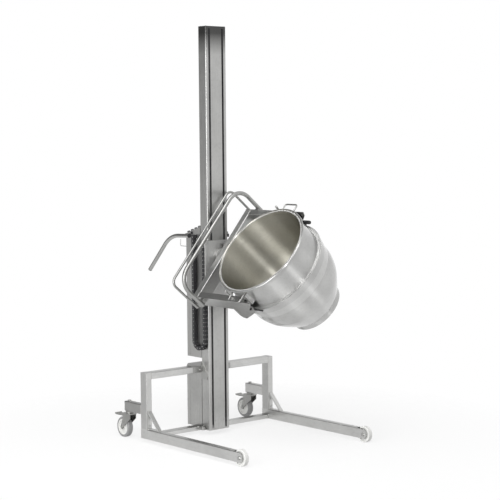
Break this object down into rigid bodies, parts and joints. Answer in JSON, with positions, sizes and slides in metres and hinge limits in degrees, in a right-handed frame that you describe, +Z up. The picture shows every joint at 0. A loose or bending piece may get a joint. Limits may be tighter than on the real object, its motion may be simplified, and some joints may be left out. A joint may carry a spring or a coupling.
{
  "type": "mobile bowl lifting column",
  "caption": "Wheeled stainless column lifter: a slim mast on a straddle base raises a tipping fork that holds a planetary mixer's bowl, with push handle and button console.",
  "frame": {"origin": "on the floor, under the middle of the whole object's box", "axes": "+Z up, legs point to -Y, push handle and console to +Y, left is -X"},
  "size_m": [1.017, 1.4118, 2.486],
  "materials": {
    "stainless_tube": "satin",
    "stainless_sheet": "satin",
    "column_metal": "satin",
    "fork_steel": "satin",
    "bowl_steel": "brushed",
    "fastener_steel": "polished",
    "nylon_white": "matte",
    "grey_rubber": "matte",
    "black_plastic": "matte",
    "button_plastic": "matte",
    "cast_housing": "painted",
    "bronze": "machined"
  },
  "bodies": {
    "chassis": {"side_frame_left": "stainless_tube", "side_frame_right": "stainless_tube", "cross_beam_upper": "stainless_tube", "cross_beam_lower": "stainless_tube", "braces": "stainless_tube", "column_brackets": "stainless_sheet", "frame_bolts": "fastener_steel", "column": "column_metal", "column_cap": "black_plastic", "slot_seals": "black_plastic", "foot_cover": "stainless_sheet", "housing_upper": "stainless_sheet", "housing_lower": "stainless_sheet", "console": "stainless_sheet", "push_handle": "stainless_tube", "handle_plugs": "black_plastic", "cable_hook": "fastener_steel", "side_socket": "black_plastic", "limit_switch": "black_plastic", "lift_drive": "cast_housing", "spindle": "fastener_steel", "spindle_bearing": "cast_housing", "battery_pack": "black_plastic", "chain_anchor": "stainless_sheet", "chain_rear": "black_plastic", "front_axles": "fastener_steel", "caster_heads": "fastener_steel"},
    "carriage": {"carriage_plate": "stainless_sheet", "carriage_core": "cast_housing", "spindle_nut": "bronze", "glide_pads": "nylon_white", "rotor_ring": "fork_steel", "chain_carrier": "stainless_sheet", "chain_front": "black_plastic"},
    "chain_loop": {"chain_bend": "black_plastic"},
    "fork": {"rotor_hub": "fork_steel", "fork_beam": "fork_steel", "fork_arm_left": "fork_steel", "fork_arm_right": "fork_steel", "bow_rear": "stainless_tube", "bow_front": "stainless_tube", "bowl": "bowl_steel", "bowl_handles": "bowl_steel", "front_grips": "black_plastic"},
    "latch_left": {"latch_pin_left": "fastener_steel"},
    "latch_right": {"latch_pin_right": "fastener_steel"},
    "caster_left": {"caster_fork_left": "fastener_steel"},
    "caster_roll_left": {"caster_wheel_left": "nylon_white", "caster_tyre_left": "grey_rubber"},
    "pedal_left": {"caster_pedal_left": "fastener_steel"},
    "front_roll_left": {"front_wheel_left": "nylon_white"},
    "caster_right": {"caster_fork_right": "fastener_steel"},
    "caster_roll_right": {"caster_wheel_right": "nylon_white", "caster_tyre_right": "grey_rubber"},
    "pedal_right": {"caster_pedal_right": "fastener_steel"},
    "front_roll_right": {"front_wheel_right": "nylon_white"},
    "button_1": {"button_1": "button_plastic"},
    "button_2": {"button_2": "button_plastic"},
    "button_3": {"button_3": "button_plastic"},
    "button_4": {"button_4": "button_plastic"}
  },
  "joints": [
    {"name": "lift", "type": "slide", "parent": "chassis", "child": "carriage", "axis": [0, 0, 1], "range_m": [-0.16, 1.15], "deforming": ["chain_front"]},
    {"name": "bowl_tip", "type": "hinge", "parent": "carriage", "child": "fork", "pos_m": [0, 0.0881, 1.104], "axis": [0, 1, 0], "range_deg": [-70, 50]},
    {"name": "chain_loop_slide", "type": "slide", "parent": "chassis", "child": "chain_loop", "axis": [0, 0, 1], "range_m": [-0.08, 0.575], "deforming": ["chain_rear"]},
    {"name": "latch_lift_left", "type": "slide", "parent": "fork", "child": "latch_left", "axis": [-0.766, 0, 0.6428], "range_m": [0, 0.045]},
    {"name": "latch_lift_right", "type": "slide", "parent": "fork", "child": "latch_right", "axis": [-0.766, 0, 0.6428], "range_m": [0, 0.045]},
    {"name": "caster_swivel_left", "type": "hinge", "parent": "chassis", "child": "caster_left", "pos_m": [-0.48, 0.4001, 0.154], "axis": [0, 0, 1], "continuous": true},
    {"name": "caster_spin_left", "type": "hinge", "parent": "caster_left", "child": "caster_roll_left", "pos_m": [-0.48, 0.4501, 0.0625], "axis": [1, 0, 0], "continuous": true},
    {"name": "brake_pedal_left", "type": "hinge", "parent": "caster_left", "child": "pedal_left", "pos_m": [-0.48, 0.4291, 0.137], "axis": [1, 0, 0], "range_deg": [-12, 0]},
    {"name": "front_spin_left", "type": "hinge", "parent": "chassis", "child": "front_roll_left", "pos_m": [-0.48, -0.6579, 0.048], "axis": [1, 0, 0], "continuous": true},
    {"name": "caster_swivel_right", "type": "hinge", "parent": "chassis", "child": "caster_right", "pos_m": [0.48, 0.4001, 0.154], "axis": [0, 0, 1], "continuous": true},
    {"name": "caster_spin_right", "type": "hinge", "parent": "caster_right", "child": "caster_roll_right", "pos_m": [0.48, 0.4501, 0.0625], "axis": [1, 0, 0], "continuous": true},
    {"name": "brake_pedal_right", "type": "hinge", "parent": "caster_right", "child": "pedal_right", "pos_m": [0.48, 0.4291, 0.137], "axis": [1, 0, 0], "range_deg": [-12, 0]},
    {"name": "front_spin_right", "type": "hinge", "parent": "chassis", "child": "front_roll_right", "pos_m": [0.48, -0.6579, 0.048], "axis": [1, 0, 0], "continuous": true},
    {"name": "button_push_1", "type": "slide", "parent": "chassis", "child": "button_1", "axis": [0, -0.3113, -0.9503], "range_m": [0, 0.003], "stiffness_N_per_m": 600, "springref_m": -0.002},
    {"name": "button_push_2", "type": "slide", "parent": "chassis", "child": "button_2", "axis": [0, -0.3113, -0.9503], "range_m": [0, 0.003], "stiffness_N_per_m": 600, "springref_m": -0.002},
    {"name": "button_push_3", "type": "slide", "parent": "chassis", "child": "button_3", "axis": [0, -0.3113, -0.9503], "range_m": [0, 0.003], "stiffness_N_per_m": 600, "springref_m": -0.002},
    {"name": "button_push_4", "type": "slide", "parent": "chassis", "child": "button_4", "axis": [0, -0.3113, -0.9503], "range_m": [0, 0.003], "stiffness_N_per_m": 600, "springref_m": -0.002}
  ],
  "couplings": [
    {"joint": "chain_loop_slide", "follows": "lift", "ratio": 0.5}
  ]
}
